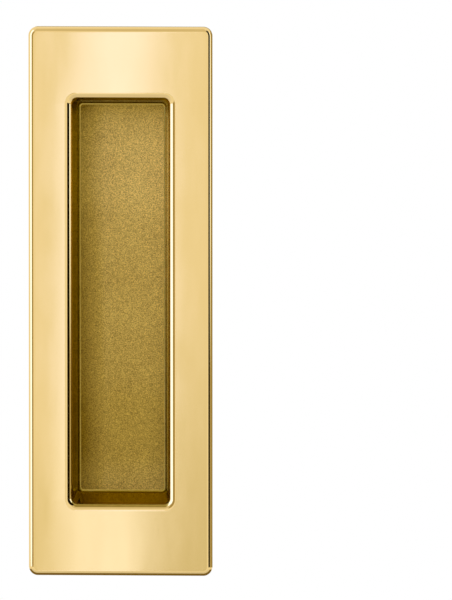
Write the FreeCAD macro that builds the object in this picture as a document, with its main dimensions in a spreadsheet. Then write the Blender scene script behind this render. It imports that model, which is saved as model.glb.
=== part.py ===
import FreeCAD, Part
import os
import Sketcher

# A rectangular flush pull for a pocket door, cast as one piece.
# A thin plate lies on the door's face, and a drafted cup behind it makes the finger pocket.
# Frame: origin at the centre of the plate's back, +Z up along the plate, +X to the right
# as seen from the room, and +Y into the door. The polished face looks along -Y.

# Driving dimensions, in millimetres, and the drafts in degrees.
# The opening is measured at the face, before its rim is rounded.
SIZES = {
    "plate_length": 120.0,
    "plate_width": 40.0,
    "plate_thickness": 2.0,
    "plate_corner_radius": 2.0,
    "plate_edge_radius": 1.2,
    "opening_length": 88.4,
    "opening_width": 21.0,
    "pocket_depth": 10.0,
    "pocket_corner_radius": 1.0,
    "side_draft": 5.7,
    "end_draft": 9.0,
    "rim_radius": 1.8,
    "floor_radius": 0.5,
    "wall_thickness": 1.5,
    "floor_thickness": 1.5,
    "cup_edge_radius": 1.0,
    "root_radius": 0.4,
}
# A rounded edge takes at most this share of a wall or corner that it runs into
EDGE_SHARE = 0.9
# Points within this distance of a level, in millimetres, lie on it
LEVEL_TOLERANCE = 0.001

doc = FreeCAD.newDocument("pocket_door_pull")
sheet = doc.addObject("Spreadsheet::Sheet", "sizes")
for row, (alias, value) in enumerate(SIZES.items(), start=1):
    sheet.set(f"A{row}", alias)
    sheet.set(f"B{row}", str(value))
    sheet.setAlias(f"B{row}", alias)
doc.recompute()

# Levels along Y of the flat faces, counted from the plate's back
plate_back = 0.0
plate_face = -sheet.plate_thickness
pocket_floor = plate_face + sheet.pocket_depth
cup_back = pocket_floor + sheet.floor_thickness

# Depths of the same faces below the plate's face, as the sketches read them from the sheet
FACE_DEPTH = "0"
PLATE_BACK_DEPTH = "sizes.plate_thickness"
FLOOR_DEPTH = "sizes.pocket_depth"
CUP_BACK_DEPTH = "sizes.pocket_depth + sizes.floor_thickness"

body = doc.addObject("PartDesign::Body", "flush_pull")
body.Label = "flush_pull"
body.Placement = FreeCAD.Placement()
door_plane = next(plane for plane in body.Origin.OriginFeatures if plane.Role == "XZ_Plane")


def rectangle(name, width, length, depth):
    """A sketched rectangle, centred on the plate, at this depth below its face."""
    sketch = body.newObject("Sketcher::SketchObject", name)
    sketch.AttachmentSupport = [(door_plane, "")]
    sketch.MapMode = "FlatFace"
    sketch.setExpression("AttachmentOffset.Base.z", f"sizes.plate_thickness - ({depth})")
    points = [FreeCAD.Vector(x, y, 0) for x, y in ((-1, -1), (1, -1), (1, 1), (-1, 1))]
    for start, end in zip(points, points[1:] + points[:1]):
        sketch.addGeometry(Part.LineSegment(start, end), False)
    bottom, right, top, left = range(4)
    for line, following in ((bottom, right), (right, top), (top, left), (left, bottom)):
        sketch.addConstraint(Sketcher.Constraint("Coincident", line, 2, following, 1))
    for line in (bottom, top):
        sketch.addConstraint(Sketcher.Constraint("Horizontal", line))
    for line in (right, left):
        sketch.addConstraint(Sketcher.Constraint("Vertical", line))
    sketch.addConstraint(Sketcher.Constraint("Symmetric", bottom, 1, top, 1, -1, 1))
    for label, kind, line in (("width", "DistanceX", bottom), ("length", "DistanceY", right)):
        index = sketch.addConstraint(Sketcher.Constraint(kind, line, 1, line, 2, 2.0))
        sketch.renameConstraint(index, label)
    sketch.setExpression("Constraints.width", width)
    sketch.setExpression("Constraints.length", length)
    doc.recompute()
    return sketch


def pocket_section(name, depth, wall="0"):
    """The pocket's outline at this depth, grown by a wall: it narrows more at its ends than its sides."""
    width = f"sizes.opening_width - 2 * ({depth}) * tan(sizes.side_draft)"
    length = f"sizes.opening_length - 2 * ({depth}) * tan(sizes.end_draft)"
    width += f" + 2 * {wall} / cos(sizes.side_draft)"
    length += f" + 2 * {wall} / cos(sizes.end_draft)"
    return rectangle(name, width, length, depth)


def flat_face(level):
    """The face of the body so far that lies flat at this level."""
    for face in body.Tip.Shape.Faces:
        if face.Surface.TypeId == "Part::GeomPlane":
            facing = abs(face.normalAt(0, 0).y) > 1 - LEVEL_TOLERANCE
            if facing and abs(face.CenterOfMass.y - level) < LEVEL_TOLERANCE:
                return face
    raise ValueError(f"no flat face at {level} mm")


def outline(level):
    """The edges around the flat face at this level."""
    return flat_face(level).OuterWire.Edges


def hole(level):
    """The edges around the hole in the flat face at this level."""
    face = flat_face(level)
    return [edge for wire in face.Wires if not wire.isSame(face.OuterWire) for edge in wire.Edges]


def corners(front, back):
    """The corner edges that run from the level in front to the level behind."""
    found = []
    for edge in body.Tip.Shape.Edges:
        levels = sorted(vertex.Point.y for vertex in edge.Vertexes)
        if len(levels) == 2 and abs(levels[0] - front) + abs(levels[1] - back) < LEVEL_TOLERANCE:
            found.append(edge)
    return found


def rounded(name, edges, radius):
    """Round these edges of the body so far."""
    base = body.Tip
    names = []
    for number, edge in enumerate(base.Shape.Edges, start=1):
        if any(edge.isSame(other) for other in edges):
            names.append(f"Edge{number}")
    fillet = body.newObject("PartDesign::Fillet", name)
    fillet.Base = (base, names)
    fillet.setExpression("Radius", radius)
    doc.recompute()


def limited(radius, *walls):
    """This radius, or less where a wall or corner leaves no room for it."""
    return f"min(sizes.{radius}; " + "; ".join(f"{EDGE_SHARE} * sizes.{wall}" for wall in walls) + ")"


# The plate, with its corners
plate_outline = rectangle("plate_outline", "sizes.plate_width", "sizes.plate_length", PLATE_BACK_DEPTH)
plate = body.newObject("PartDesign::Pad", "plate")
plate.Profile = plate_outline
plate.setExpression("Length", "sizes.plate_thickness")
doc.recompute()
rounded("plate_corners", corners(plate_face, plate_back), "sizes.plate_corner_radius")

# The cup behind the plate: its walls follow the pocket's at an even thickness
cup_mouth = pocket_section("cup_mouth", PLATE_BACK_DEPTH, "sizes.wall_thickness")
cup_end = pocket_section("cup_end", CUP_BACK_DEPTH, "sizes.wall_thickness")
cup = body.newObject("PartDesign::AdditiveLoft", "cup")
cup.Profile = cup_mouth
cup.Sections = [cup_end]
doc.recompute()
rounded("cup_corners", corners(plate_back, cup_back), "sizes.pocket_corner_radius + sizes.wall_thickness")

# The finger pocket, cut from the face
pocket_mouth = pocket_section("pocket_mouth", FACE_DEPTH)
pocket_end = pocket_section("pocket_end", FLOOR_DEPTH)
uncut_volume = body.Tip.Shape.Volume
pocket = body.newObject("PartDesign::SubtractiveLoft", "pocket")
pocket.Profile = pocket_mouth
pocket.Sections = [pocket_end]
doc.recompute()
opening_volume = sheet.opening_width * sheet.opening_length * sheet.pocket_depth
cut_volume = uncut_volume - pocket.Shape.Volume
if not 0 < cut_volume <= opening_volume:
    raise ValueError(f"the pocket takes {cut_volume:.0f} mm3 from the body")
rounded("pocket_corners", corners(plate_face, pocket_floor), "sizes.pocket_corner_radius")

# Every edge that a hand or the die meets is rounded
plate_edge_radius = limited("plate_edge_radius", "plate_thickness", "plate_corner_radius")
rounded("plate_edge", outline(plate_face), plate_edge_radius)
rounded("pocket_rim", hole(plate_face), "sizes.rim_radius")
rounded("floor_edge", outline(pocket_floor), limited("floor_radius", "pocket_corner_radius"))
rounded("cup_edge", outline(cup_back), limited("cup_edge_radius", "wall_thickness", "floor_thickness"))
rounded("cup_root", hole(plate_back), "sizes.root_radius")

# The finished body, checked and written out
for item in doc.Objects:
    if "Invalid" in item.State or "Error" in item.State:
        raise ValueError(f"{item.Label} failed")
if body.Shape.isNull() or not body.Shape.isValid():
    raise ValueError(f"{body.Label} has no valid shape")
os.makedirs("parts", exist_ok=True)
body.Shape.exportStep(f"parts/{body.Label}.step")
print(f"{body.Label}: {body.Shape.Volume:.1f} mm3, {len(body.Shape.Solids)} solid")
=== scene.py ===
import math

import bmesh
import bpy
from mathutils import Matrix, Quaternion, Vector


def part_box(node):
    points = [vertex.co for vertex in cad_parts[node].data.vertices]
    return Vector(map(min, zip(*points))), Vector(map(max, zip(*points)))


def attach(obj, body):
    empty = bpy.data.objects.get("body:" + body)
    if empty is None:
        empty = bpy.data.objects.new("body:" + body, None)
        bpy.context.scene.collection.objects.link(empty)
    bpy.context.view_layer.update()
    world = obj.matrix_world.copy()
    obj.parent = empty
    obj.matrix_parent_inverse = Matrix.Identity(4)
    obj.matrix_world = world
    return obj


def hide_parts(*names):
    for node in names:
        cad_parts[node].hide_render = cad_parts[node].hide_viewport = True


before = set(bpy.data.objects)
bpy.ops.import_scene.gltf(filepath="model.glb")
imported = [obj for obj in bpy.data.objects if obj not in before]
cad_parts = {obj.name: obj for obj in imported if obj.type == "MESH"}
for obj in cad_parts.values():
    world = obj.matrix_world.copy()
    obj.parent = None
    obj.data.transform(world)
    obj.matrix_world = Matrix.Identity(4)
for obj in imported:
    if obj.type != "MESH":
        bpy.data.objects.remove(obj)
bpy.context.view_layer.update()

MM = 0.001
# Sizes of the pull in millimetres, the same as the solid's
OPENING_WIDTH = 21.0
OPENING_LENGTH = 88.4
POCKET_DEPTH = 10.0
SIDE_DRAFT = math.radians(5.7)
END_DRAFT = math.radians(9.0)
WALL_THICKNESS = 1.5
PLATE_CORNER_RADIUS = 2.0
POCKET_CORNER_RADIUS = 1.0
CUP_CORNER_RADIUS = POCKET_CORNER_RADIUS + WALL_THICKNESS
PLATE_EDGE_RADIUS = 1.2
RIM_RADIUS = 1.8
FLOOR_RADIUS = 0.5
CUP_EDGE_RADIUS = 1.0
ROOT_RADIUS = 0.4
# Flat margins beside the rounded edges, so that each rounding runs evenly around its corners
PLATE_MARGIN = 1.7
RIM_MARGIN = 6.0
ROOT_MARGIN = 0.8

# The plate's box, its face and back, and the levels behind them along Y
low, high = (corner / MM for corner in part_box("flush_pull"))
PLATE_WIDTH = high.x - low.x
PLATE_LENGTH = high.z - low.z
FACE = low.y
PLATE_BACK = 0.0
POCKET_FLOOR = FACE + POCKET_DEPTH
CUP_BACK = high.y

# How finely corners and rounded edges are divided
CORNER_SEGMENTS = 18
EDGE_SEGMENTS = 20
# How far apart two outlines at one level are set while they are joined, in millimetres
RING_STEP = 1.0

# The finishes, in the order of the piece's material slots. The second is painted shade on the pocket's
# walls.
POLISHED, SHADED, SATIN, GRAINED, CAST = range(5)
# The rim is polished up to this turn from the face, less at its top and bottom. Beyond it the rim takes the
# walls' painted shade, or the lighter satin where its normals lean upward by more than the bottom's share.
POLISHED_TURN = math.radians(62)
TOP_POLISHED_TURN = math.radians(42)
BOTTOM_POLISHED_TURN = math.radians(28)
BOTTOM_SHARE = 0.5
# The fillet around the floor is satin up to this turn from the floor, and takes the walls' painted shade
# beyond it
SATIN_TURN = math.radians(33)

# Most values of a noise lie between these two
NOISE_LOW = 0.3
NOISE_HIGH = 0.7

# The camera: a long lens, a little above the pull and to its right
LENS = 1110.6
SENSOR_WIDTH = 36.0
CAMERA_PLACE = (0.1912, -4.0, 0.4222)
CAMERA_YAW = math.radians(-2.4088)
CAMERA_PITCH = math.radians(-6.0151)

# The brightness of the surroundings, as the camera and the metal see them and as they light the rest
SEEN_BRIGHTNESS = 1.0
SOFT_BRIGHTNESS = 0.9
WHITE = (1, 1, 1, 1)

# The studio's floor in metres: its level, its radius, and the distances from the pull where it starts to
# thin out and where it is clear
STAGE_LEVEL = -0.36
STAGE_RADIUS = 0.9
STAGE_THINS = 0.45
STAGE_CLEAR = 0.95
STAGE_SEGMENTS = 96

# The fading nets, in metres: how far in front of the pull they stand, and the level of their lower edges
NET_DISTANCE = 1.9
NET_FOOT = -0.50


def outline(mesh, width, length, radius, level):
    """One flat face with rounded corners, across the plate at this level."""
    known = set(mesh.faces)
    turned = Matrix.Rotation(math.radians(90), 4, "X")
    sized = Matrix.Diagonal((width / 2, length / 2, 1, 1))
    place = Matrix.Translation((0, level, 0)) @ turned @ sized
    corners = bmesh.ops.create_grid(mesh, x_segments=1, y_segments=1, size=1, matrix=place)["verts"]
    bmesh.ops.bevel(
        mesh, geom=corners, offset=radius, segments=CORNER_SEGMENTS, profile=0.5,
        affect="VERTICES", material=-1,
    )
    return next(face for face in mesh.faces if face not in known)


def pocket_outline(mesh, level, wall, radius):
    """The pocket's outline at this level, grown by a wall. It narrows more at its ends than its sides."""
    depth = level - FACE
    width = OPENING_WIDTH - 2 * depth * math.tan(SIDE_DRAFT) + 2 * wall / math.cos(SIDE_DRAFT)
    length = OPENING_LENGTH - 2 * depth * math.tan(END_DRAFT) + 2 * wall / math.cos(END_DRAFT)
    return outline(mesh, width, length, radius, level)


def bridged(mesh, one_loop, other_loop, finish):
    """The wall of faces between two outlines."""
    for face in bmesh.ops.bridge_loops(mesh, edges=one_loop + other_loop)["faces"]:
        face.material_index = finish


def ring(mesh, outer_loop, inner_loop, finish):
    """The flat ring between two outlines at one level.

    They are joined a step apart and brought level again."""
    inner = list({vert for edge in inner_loop for vert in edge.verts})
    bmesh.ops.translate(mesh, verts=inner, vec=(0, RING_STEP, 0))
    bridged(mesh, outer_loop, inner_loop, finish)
    bmesh.ops.translate(mesh, verts=inner, vec=(0, -RING_STEP, 0))


def rounded(mesh, loop, offset, finish):
    """Round the edges of a loop, with the rounding's reach along the faces beside it."""
    made = bmesh.ops.bevel(
        mesh, geom=loop, offset=offset, offset_type="OFFSET", segments=EDGE_SEGMENTS, profile=0.5,
        affect="EDGES", clamp_overlap=False, loop_slide=True, material=-1,
    )
    for face in made["faces"]:
        face.material_index = finish
        face.normal_update()
    return made["faces"]


def rim_finish(normal):
    """The finish of the rim where it faces along this normal."""
    upward = normal.z / math.hypot(normal.x, normal.z)
    end_turn = BOTTOM_POLISHED_TURN if upward > 0 else TOP_POLISHED_TURN
    turn = POLISHED_TURN + (end_turn - POLISHED_TURN) * abs(upward)
    if abs(normal.y) >= math.cos(turn):
        return POLISHED
    return SATIN if upward > BOTTOM_SHARE else SHADED


def fillet_finish(normal):
    """The finish of the fillet around the floor where it faces along this normal."""
    return SATIN if abs(normal.y) >= math.cos(SATIN_TURN) else SHADED


def pull_mesh():
    """The plate and its cup as one closed skin, with its edges rounded, all but the edge around the plate's
    back. It is made in millimetres.
    """
    mesh = bmesh.new()
    faces = {
        "plate_front": outline(mesh, PLATE_WIDTH, PLATE_LENGTH, PLATE_CORNER_RADIUS, FACE),
        "plate_back": outline(mesh, PLATE_WIDTH, PLATE_LENGTH, PLATE_CORNER_RADIUS, PLATE_BACK),
        "plate_margin": outline(
            mesh, PLATE_WIDTH - 2 * PLATE_MARGIN, PLATE_LENGTH - 2 * PLATE_MARGIN,
            PLATE_CORNER_RADIUS - PLATE_MARGIN, FACE,
        ),
        "rim_margin": pocket_outline(mesh, FACE, RIM_MARGIN, POCKET_CORNER_RADIUS + RIM_MARGIN),
        "mouth": pocket_outline(mesh, FACE, 0, POCKET_CORNER_RADIUS),
        "floor": pocket_outline(mesh, POCKET_FLOOR, 0, POCKET_CORNER_RADIUS),
        "root_margin": pocket_outline(
            mesh, PLATE_BACK, WALL_THICKNESS + ROOT_MARGIN, CUP_CORNER_RADIUS + ROOT_MARGIN,
        ),
        "cup_root": pocket_outline(mesh, PLATE_BACK, WALL_THICKNESS, CUP_CORNER_RADIUS),
        "cup_end": pocket_outline(mesh, CUP_BACK, WALL_THICKNESS, CUP_CORNER_RADIUS),
    }
    loops = {name: list(face.edges) for name, face in faces.items()}
    open_faces = [face for name, face in faces.items() if name not in ("floor", "cup_end")]
    faces["floor"].material_index = GRAINED
    faces["cup_end"].material_index = CAST
    bmesh.ops.delete(mesh, geom=open_faces, context="FACES_ONLY")
    ring(mesh, loops["plate_front"], loops["plate_margin"], POLISHED)
    ring(mesh, loops["plate_margin"], loops["rim_margin"], POLISHED)
    ring(mesh, loops["rim_margin"], loops["mouth"], POLISHED)
    bridged(mesh, loops["plate_front"], loops["plate_back"], POLISHED)
    # The pocket's walls take the painted shade
    bridged(mesh, loops["mouth"], loops["floor"], SHADED)
    ring(mesh, loops["plate_back"], loops["root_margin"], CAST)
    ring(mesh, loops["root_margin"], loops["cup_root"], CAST)
    bridged(mesh, loops["cup_root"], loops["cup_end"], CAST)
    bmesh.ops.recalc_face_normals(mesh, faces=mesh.faces)
    # A rounding between two faces reaches its radius times the tangent of half their turn
    reach = math.tan((math.radians(90) - (SIDE_DRAFT + END_DRAFT) / 2) / 2)
    rounded(mesh, loops["plate_front"], PLATE_EDGE_RADIUS, POLISHED)
    for face in rounded(mesh, loops["mouth"], RIM_RADIUS * reach, POLISHED):
        face.material_index = rim_finish(face.normal)
    for face in rounded(mesh, loops["floor"], FLOOR_RADIUS * reach, SATIN):
        face.material_index = fillet_finish(face.normal)
    rounded(mesh, loops["cup_end"], CUP_EDGE_RADIUS * reach, CAST)
    rounded(mesh, loops["cup_root"], ROOT_RADIUS * reach, CAST)
    bmesh.ops.recalc_face_normals(mesh, faces=mesh.faces)
    bmesh.ops.scale(mesh, vec=(MM, MM, MM), verts=mesh.verts)
    for face in mesh.faces:
        face.smooth = True
    return mesh


def metal(name, mean_color, mean_roughness):
    """A bare metal of a mean colour and roughness, with the nodes that its finish adds to."""
    material = bpy.data.materials.new(name)
    material.use_nodes = True
    nodes = material.node_tree.nodes
    shader = nodes["Principled BSDF"]
    shader.inputs["Metallic"].default_value = 1.0
    shader.inputs["Base Color"].default_value = (*mean_color, 1.0)
    shader.inputs["Roughness"].default_value = mean_roughness
    return material, nodes, material.node_tree.links, shader


def noise(nodes, links, scale, detail, stretch=(1, 1, 1)):
    """A noise on the piece's own coordinates, stretched along its axes."""
    place = nodes.new("ShaderNodeTexCoord")
    mapping = nodes.new("ShaderNodeMapping")
    mapping.inputs["Scale"].default_value = stretch
    texture = nodes.new("ShaderNodeTexNoise")
    texture.inputs["Scale"].default_value = scale
    texture.inputs["Detail"].default_value = detail
    links.new(place.outputs["Object"], mapping.inputs["Vector"])
    links.new(mapping.outputs["Vector"], texture.inputs["Vector"])
    return texture.outputs["Fac"]


def spread(nodes, links, value, start, end, lowest, highest):
    """A value between a start and an end, spread over another range."""
    mapped = nodes.new("ShaderNodeMapRange")
    mapped.inputs["From Min"].default_value = start
    mapped.inputs["From Max"].default_value = end
    mapped.inputs["To Min"].default_value = lowest
    mapped.inputs["To Max"].default_value = highest
    links.new(value, mapped.inputs["Value"])
    return mapped.outputs["Result"]


def ranged(nodes, links, value, lowest, highest):
    """A noise spread over a range."""
    return spread(nodes, links, value, NOISE_LOW, NOISE_HIGH, lowest, highest)


def ramped(nodes, links, value, *stops):
    """A colour along a ramp. Each stop is a place on it and the colour there."""
    ramp = nodes.new("ShaderNodeValToRGB")
    elements = ramp.color_ramp.elements
    while len(elements) < len(stops):
        elements.new(0.5)
    for element, (place, color) in zip(elements, stops):
        element.position = place
        element.color = (*color, 1)
    links.new(value, ramp.inputs["Fac"])
    return ramp.outputs["Color"]


def tinted(nodes, links, value, dark, light):
    """A colour between a dark and a light one, after a noise."""
    return ramped(nodes, links, value, (NOISE_LOW, dark), (NOISE_HIGH, light))


def added(nodes, links, value, share, base):
    """A share of a value, added to another value. The share is a number or a value too."""
    total = nodes.new("ShaderNodeMath")
    total.operation = "MULTIPLY_ADD"
    links.new(value, total.inputs[0])
    if isinstance(share, float):
        total.inputs[1].default_value = share
    else:
        links.new(share, total.inputs[1])
    links.new(base, total.inputs[2])
    return total.outputs["Value"]


def axes(nodes, links):
    """The piece's own coordinates, one by one."""
    place = nodes.new("ShaderNodeTexCoord")
    apart = nodes.new("ShaderNodeSeparateXYZ")
    links.new(place.outputs["Object"], apart.inputs["Vector"])
    return apart.outputs


def bumped(nodes, links, height, distance, strength):
    """A bump of this depth in metres."""
    bump = nodes.new("ShaderNodeBump")
    bump.inputs["Distance"].default_value = distance
    bump.inputs["Strength"].default_value = strength
    links.new(height, bump.inputs["Height"])
    return bump.outputs["Normal"]


def polished_brass():
    """Mirror polish with the faint waves that buffing leaves."""
    dark = (0.845, 0.61, 0.245)
    light = (0.865, 0.626, 0.259)
    material, nodes, links, shader = metal("polished_brass", (0.855, 0.618, 0.252), 0.045)
    waves = noise(nodes, links, scale=45, detail=1)
    haze = noise(nodes, links, scale=260, detail=3, stretch=(1, 1, 0.25))
    links.new(tinted(nodes, links, haze, dark, light), shader.inputs["Base Color"])
    links.new(ranged(nodes, links, haze, lowest=0.035, highest=0.055), shader.inputs["Roughness"])
    links.new(bumped(nodes, links, waves, distance=0.02 * MM, strength=0.5), shader.inputs["Normal"])
    return material


def shaded_brass():
    """The pocket's walls, drawn smooth, their colour darkened as painted shade of the pocket.

    The painted shade is deepest under the top, and painted light lifts the right wall towards its top."""
    # The darkest colour is painted shade under the top edge, the lightest is painted light on the right wall
    deepest_painted_shade = (0.30, 0.22, 0.01)
    plain = (0.37, 0.27, 0.02)
    painted_light_color = (0.95, 0.78, 0.40)
    plain_glance = (0.75, 0.65, 0.07)
    painted_light_glance = (1.0, 1.0, 1.0)
    material, nodes, links, shader = metal("shaded_brass", plain, 0.14)
    drawn = noise(nodes, links, scale=900, detail=2, stretch=(1, 0.2, 1))
    at = axes(nodes, links)
    # Painted light on the right wall, growing towards its top
    right_wall = spread(nodes, links, at["X"], start=8.5 * MM, end=9.5 * MM, lowest=0, highest=1)
    wear_and_painted_light = spread(nodes, links, at["Z"], start=-35 * MM, end=20 * MM, lowest=-0.05, highest=0.3)
    # Painted shade, deepest just under the pocket's top edge
    shade_under_top = spread(nodes, links, at["Z"], start=40.5 * MM, end=43 * MM, lowest=0.5, highest=0.1)
    # The walls' painted light and shade, with the drawing marks added
    painted_wall_shading = added(nodes, links, right_wall, wear_and_painted_light, shade_under_top)
    wear_and_painted_shading = added(nodes, links, drawn, 0.2, painted_wall_shading)
    color = ramped(nodes, links, wear_and_painted_shading, (0.2, deepest_painted_shade), (0.6, plain), (0.9, painted_light_color))
    # The glancing colour follows the same painted light and shade
    glance = ramped(nodes, links, painted_wall_shading, (0.1, deepest_painted_shade), (0.5, plain_glance), (0.8, painted_light_glance))
    links.new(color, shader.inputs["Base Color"])
    links.new(glance, shader.inputs["Specular Tint"])
    links.new(ranged(nodes, links, drawn, lowest=0.11, highest=0.17), shader.inputs["Roughness"])
    links.new(bumped(nodes, links, drawn, distance=0.02 * MM, strength=0.3), shader.inputs["Normal"])
    return material


def satin_brass():
    """The fillet around the pocket's floor and the bottom of its rim: darker than the face as painted shade,
    but kept lighter than the walls' painted shade.
    """
    dark = (0.37, 0.25, 0.04)
    light = (0.43, 0.29, 0.06)
    glance = (0.9, 0.75, 0.25)
    material, nodes, links, shader = metal("satin_brass", (0.40, 0.27, 0.05), 0.19)
    wear_and_painted_light = noise(nodes, links, scale=700, detail=2)
    links.new(tinted(nodes, links, wear_and_painted_light, dark, light), shader.inputs["Base Color"])
    shader.inputs["Specular Tint"].default_value = (*glance, 1)
    links.new(ranged(nodes, links, wear_and_painted_light, lowest=0.16, highest=0.22), shader.inputs["Roughness"])
    links.new(bumped(nodes, links, wear_and_painted_light, distance=0.02 * MM, strength=0.3), shader.inputs["Normal"])
    return material


def floor_painted_shading(nodes, links):
    """The painted light and shade of the pocket's floor. It changes along the floor: a painted shadow of the
    top wall at its top, painted light from above fading towards its foot and lighter again at the foot, and
    it is darker on the left as a painted shadow of the left wall.
    """
    # Each point is a share of the floor's length, from its foot, and the painted brightness there
    foot = (0, 0.63)
    between = ((0.06, 0.54), (0.13, 0.46), (0.31, 0.55), (0.67, 0.65), (0.82, 0.75), (0.92, 0.71))
    top = (1, 0.25)
    half_length = 42.5 * MM
    at = axes(nodes, links)
    along = nodes.new("ShaderNodeFloatCurve")
    curve = along.mapping.curves[0]
    curve.points[0].location = foot
    curve.points[1].location = top
    for point in between:
        curve.points.new(*point)
    along.mapping.update()
    share = spread(nodes, links, at["Z"], start=-half_length, end=half_length, lowest=0, highest=1)
    links.new(share, along.inputs["Value"])
    # Painted shadow of the left wall, darker towards the floor's left side
    left_wall_shadow = spread(nodes, links, at["X"], start=-9.5 * MM, end=-3.6 * MM, lowest=-0.36, highest=0)
    return added(nodes, links, left_wall_shadow, 1.0, along.outputs["Value"])


def grained_brass():
    """The pocket's floor, blasted to a fine grain."""
    # These colours are darker than the face, partly for the blasted metal and partly as painted shade of the
    # pocket
    dark = (0.22, 0.12, 0.0)
    middle = (0.49, 0.33, 0.062)
    light = (0.76, 0.545, 0.18)
    glance = (0.9, 0.75, 0.4)
    grains_to_the_metre = 9000
    material, nodes, links, shader = metal("grained_brass", middle, 0.5)
    place = nodes.new("ShaderNodeTexCoord")
    cells = nodes.new("ShaderNodeTexVoronoi")
    cells.inputs["Scale"].default_value = grains_to_the_metre
    links.new(place.outputs["Object"], cells.inputs["Vector"])
    parted = nodes.new("ShaderNodeSeparateColor")
    links.new(cells.outputs["Color"], parted.inputs["Color"])
    grain = parted.outputs["Red"]
    # The floor's colour follows its painted light and shade; the grain adds its speckle on top
    floor_shading = floor_painted_shading(nodes, links)
    color = ramped(nodes, links, floor_shading, (0.1, dark), (0.5, middle), (0.9, light))
    speckled = nodes.new("ShaderNodeHueSaturation")
    links.new(color, speckled.inputs["Color"])
    brightness = spread(nodes, links, grain, start=0, end=1, lowest=0.45, highest=1.55)
    links.new(brightness, speckled.inputs["Value"])
    links.new(speckled.outputs["Color"], shader.inputs["Base Color"])
    shader.inputs["Specular Tint"].default_value = (*glance, 1)
    clouds = noise(nodes, links, scale=120, detail=2)
    links.new(ranged(nodes, links, clouds, lowest=0.46, highest=0.56), shader.inputs["Roughness"])
    links.new(bumped(nodes, links, grain, distance=0.06 * MM, strength=0.4), shader.inputs["Normal"])
    return material


def cast_brass():
    """The hidden back, left as it came from the die and tumbled."""
    dark = (0.62, 0.44, 0.17)
    light = (0.78, 0.57, 0.25)
    material, nodes, links, shader = metal("cast_brass", (0.72, 0.52, 0.22), 0.4)
    skin = noise(nodes, links, scale=700, detail=4)
    patches = noise(nodes, links, scale=90, detail=3)
    links.new(tinted(nodes, links, patches, dark, light), shader.inputs["Base Color"])
    links.new(ranged(nodes, links, patches, lowest=0.32, highest=0.45), shader.inputs["Roughness"])
    links.new(bumped(nodes, links, skin, distance=0.05 * MM, strength=0.4), shader.inputs["Normal"])
    return material


def finished(name, mesh, materials):
    """A mesh made into an object, with its finishes in the order of its slots."""
    data = bpy.data.meshes.new(name)
    mesh.to_mesh(data)
    mesh.free()
    for material in materials:
        data.materials.append(material)
    piece = bpy.data.objects.new(name, data)
    bpy.context.scene.collection.objects.link(piece)
    return piece


def long_camera():
    """The camera, turned by its yaw and pitch from straight ahead."""
    data = bpy.data.cameras.new("camera")
    data.lens = LENS
    data.sensor_width = SENSOR_WIDTH
    camera = bpy.data.objects.new("camera", data)
    camera.location = CAMERA_PLACE
    level = math.cos(CAMERA_PITCH)
    forward = Vector((math.sin(CAMERA_YAW) * level, math.cos(CAMERA_YAW) * level, math.sin(CAMERA_PITCH)))
    camera.rotation_mode = "QUATERNION"
    camera.rotation_quaternion = forward.to_track_quat("-Z", "Y")
    bpy.context.scene.collection.objects.link(camera)
    bpy.context.scene.camera = camera


def studio():
    """White surroundings for the camera and for the metal's reflections."""
    world = bpy.data.worlds.new("studio")
    bpy.context.scene.world = world
    world.use_nodes = True
    nodes = world.node_tree.nodes
    links = world.node_tree.links
    nodes.clear()
    path = nodes.new("ShaderNodeLightPath")
    seen = nodes.new("ShaderNodeBackground")
    seen.inputs["Strength"].default_value = SEEN_BRIGHTNESS
    seen.inputs["Color"].default_value = WHITE
    soft = nodes.new("ShaderNodeBackground")
    soft.inputs["Strength"].default_value = SOFT_BRIGHTNESS
    soft.inputs["Color"].default_value = WHITE
    shown = nodes.new("ShaderNodeMath")
    shown.operation = "MAXIMUM"
    shown_too = nodes.new("ShaderNodeMath")
    shown_too.operation = "MAXIMUM"
    mix = nodes.new("ShaderNodeMixShader")
    output = nodes.new("ShaderNodeOutputWorld")
    links.new(path.outputs["Is Camera Ray"], shown.inputs[0])
    links.new(path.outputs["Is Glossy Ray"], shown.inputs[1])
    links.new(shown.outputs["Value"], shown_too.inputs[0])
    links.new(path.outputs["Is Transmission Ray"], shown_too.inputs[1])
    links.new(shown_too.outputs["Value"], mix.inputs["Fac"])
    links.new(soft.outputs["Background"], mix.inputs[1])
    links.new(seen.outputs["Background"], mix.inputs[2])
    links.new(mix.outputs["Shader"], output.inputs["Surface"])


def pale_floor():
    """A pale round floor well below the pull. It thins out towards its edge, so that no edge shows."""
    mesh = bmesh.new()
    place = Matrix.Translation((0, 0, STAGE_LEVEL))
    bmesh.ops.create_circle(
        mesh, cap_ends=True, segments=STAGE_SEGMENTS, radius=STAGE_RADIUS, matrix=place,
    )
    material = bpy.data.materials.new("pale_floor")
    material.use_nodes = True
    nodes = material.node_tree.nodes
    links = material.node_tree.links
    shader = nodes["Principled BSDF"]
    shader.inputs["Base Color"].default_value = (0.86, 0.84, 0.78, 1)
    shader.inputs["Roughness"].default_value = 0.8
    at = nodes.new("ShaderNodeTexCoord")
    distance = nodes.new("ShaderNodeVectorMath")
    distance.operation = "LENGTH"
    links.new(at.outputs["Object"], distance.inputs[0])
    clear = nodes.new("ShaderNodeBsdfTransparent")
    thinned = nodes.new("ShaderNodeMixShader")
    thinning = spread(nodes, links, distance.outputs["Value"], STAGE_THINS, STAGE_CLEAR, lowest=0, highest=1)
    links.new(thinning, thinned.inputs["Fac"])
    links.new(shader.outputs["BSDF"], thinned.inputs[1])
    links.new(clear.outputs["BSDF"], thinned.inputs[2])
    links.new(thinned.outputs["Shader"], nodes["Material Output"].inputs["Surface"])
    finished("floor", mesh, (material,))


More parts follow.
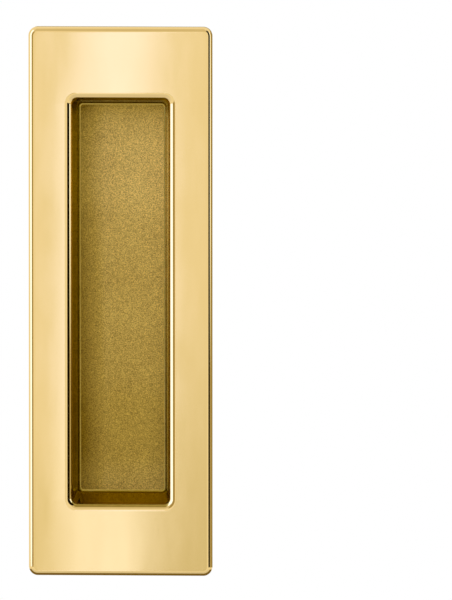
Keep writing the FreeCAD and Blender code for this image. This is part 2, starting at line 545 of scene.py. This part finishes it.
def upright(azimuth, distance, low_edge, high_edge):
    """The middle of an upright panel around the pull, and the direction from there to the pull.

    The azimuth is in degrees from straight ahead, to the right."""
    across = math.radians(azimuth)
    middle = (low_edge + high_edge) / 2
    place = Vector((math.sin(across) * distance, -math.cos(across) * distance, middle))
    facing = Vector((-place.x, -place.y, 0))
    return place, facing


def softbox(name, azimuth, distance, width, low_edge, high_edge, radiance, color, lean=0):
    """An upright soft lamp of an even brightness, leaning by some degrees. The camera doesn't see it."""
    place, facing = upright(azimuth, distance, low_edge, high_edge)
    data = bpy.data.lights.new(name, "AREA")
    data.shape = "RECTANGLE"
    data.size = width
    data.size_y = high_edge - low_edge
    data.energy = math.pi * data.size * data.size_y * radiance
    data.color = color
    lamp = bpy.data.objects.new(name, data)
    lamp.location = place
    lamp.rotation_mode = "QUATERNION"
    leaning = Quaternion((0, 0, 1), math.radians(lean))
    lamp.rotation_quaternion = facing.to_track_quat("-Z", "Y") @ leaning
    lamp.visible_camera = False
    bpy.context.scene.collection.objects.link(lamp)


def flag(name, placed, passing):
    """A flat dark card, placed by a matrix, that only the metal's reflections see.

    It lets this share of each colour through."""
    mesh = bmesh.new()
    bmesh.ops.create_grid(mesh, x_segments=1, y_segments=1, size=1, matrix=placed)
    material = bpy.data.materials.new(name)
    material.use_nodes = True
    nodes = material.node_tree.nodes
    nodes.clear()
    net = nodes.new("ShaderNodeBsdfTransparent")
    net.inputs["Color"].default_value = (*passing, 1)
    output = nodes.new("ShaderNodeOutputMaterial")
    material.node_tree.links.new(net.outputs["BSDF"], output.inputs["Surface"])
    panel = finished(name, mesh, (material,))
    panel.visible_camera = False
    panel.visible_diffuse = False
    panel.visible_shadow = False
    return material


def card(name, azimuth, distance, width, low_edge, high_edge, passing):
    """An upright flag that faces the pull."""
    place, facing = upright(azimuth, distance, low_edge, high_edge)
    turned = facing.to_track_quat("Z", "Y").to_matrix().to_4x4()
    sized = Matrix.Diagonal((width / 2, (high_edge - low_edge) / 2, 1, 1))
    return flag(name, Matrix.Translation(place) @ turned @ sized, passing)


def faded(material, dark, clear):
    """Let a flag fade out upwards, between a height where it is dark and one where it is clear."""
    nodes = material.node_tree.nodes
    links = material.node_tree.links
    net = nodes["Transparent BSDF"]
    at = axes(nodes, links)
    fade = nodes.new("ShaderNodeValToRGB")
    fade.color_ramp.interpolation = "EASE"
    fade.color_ramp.elements[0].color = net.inputs["Color"].default_value
    fade.color_ramp.elements[1].color = WHITE
    links.new(spread(nodes, links, at["Z"], dark, clear, lowest=0, highest=1), fade.inputs["Fac"])
    links.new(fade.outputs["Color"], net.inputs["Color"])


def fading_net(name, left, right, dark, clear, passing):
    """A net in front of the pull that dims its lower half's reflections."""
    middle = Matrix.Translation(((left + right) / 2, -NET_DISTANCE, (NET_FOOT + clear) / 2))
    upright_turn = Matrix.Rotation(math.radians(90), 4, "X")
    sized = Matrix.Diagonal(((right - left) / 2, (clear - NET_FOOT) / 2, 1, 1))
    net = flag(name, middle @ upright_turn @ sized, passing)
    faded(net, dark, clear)


# The pull itself
FINISHES = (polished_brass(), shaded_brass(), satin_brass(), grained_brass(), cast_brass())
pull = finished("brass_pull", pull_mesh(), FINISHES)
flat_shading = pull.modifiers.new("flat_faces", "WEIGHTED_NORMAL")
flat_shading.mode = "FACE_AREA"
flat_shading.weight = 50
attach(pull, "root")
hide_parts("flush_pull")

long_camera()
studio()
pale_floor()

# The lamps: a strip that the face mirrors as a light band, and one on each side for the rim and the edges
softbox(
    "front_strip", azimuth=-2.83, distance=2.0, width=0.025, low_edge=-0.75, high_edge=0.35,
    radiance=1.42, color=(0.23, 0.34, 1.0), lean=-1.1,
)
softbox(
    "left_key", azimuth=-65.5, distance=1.5, width=1.0, low_edge=-0.24, high_edge=1.8,
    radiance=2.3, color=(0.2, 0.36, 1.0),
)
softbox(
    "right_kicker", azimuth=78, distance=1.3, width=0.37, low_edge=-0.15, high_edge=0.8,
    radiance=1.4, color=(0.3, 0.5, 1.0),
)

# The cards around the pull: they give the rim and the plate's edges their dark lines
card(
    "left_net", azimuth=-31.5, distance=1.4, width=0.78, low_edge=-0.24, high_edge=0.6,
    passing=(0.46, 0.38, 0.18),
)
card(
    "right_flag", azimuth=52.5, distance=1.2, width=0.78, low_edge=-0.21, high_edge=1.6,
    passing=(0.01, 0.006, 0.0),
)
right_low_net = card(
    "right_low_net", azimuth=80, distance=1.25, width=0.76, low_edge=-0.26, high_edge=-0.09,
    passing=(0.5, 0.45, 0.28),
)
faded(right_low_net, dark=-0.15, clear=-0.10)
card(
    "back_right_flag", azimuth=141, distance=1.2, width=2.3, low_edge=-0.25, high_edge=0.6,
    passing=(0.4, 0.33, 0.15),
)
card(
    "top_flag", azimuth=0, distance=0.8, width=1.2, low_edge=0.4, high_edge=4.0,
    passing=(0.78, 0.74, 0.64),
)
under_flag_place = Matrix.Translation((0, 0.07, -0.12))
under_flag_size = Matrix.Diagonal((0.15, 0.10, 1, 1))
flag("under_flag", under_flag_place @ under_flag_size, passing=(0.27, 0.20, 0.06))

# The nets in front: the face darkens towards its foot, most of all on the right
fading_net(
    "lower_right_net", left=-0.083, right=0.10, dark=-0.30, clear=-0.18,
    passing=(0.78, 0.77, 0.68),
)
fading_net(
    "lower_left_net", left=-0.25, right=-0.112, dark=-0.264, clear=-0.244,
    passing=(0.90, 0.89, 0.81),
)
fading_net(
    "lower_strip_net", left=-0.112, right=-0.083, dark=-0.264, clear=-0.22,
    passing=(0.96, 0.935, 0.79),
)

bpy.context.scene.view_settings.view_transform = "Standard"
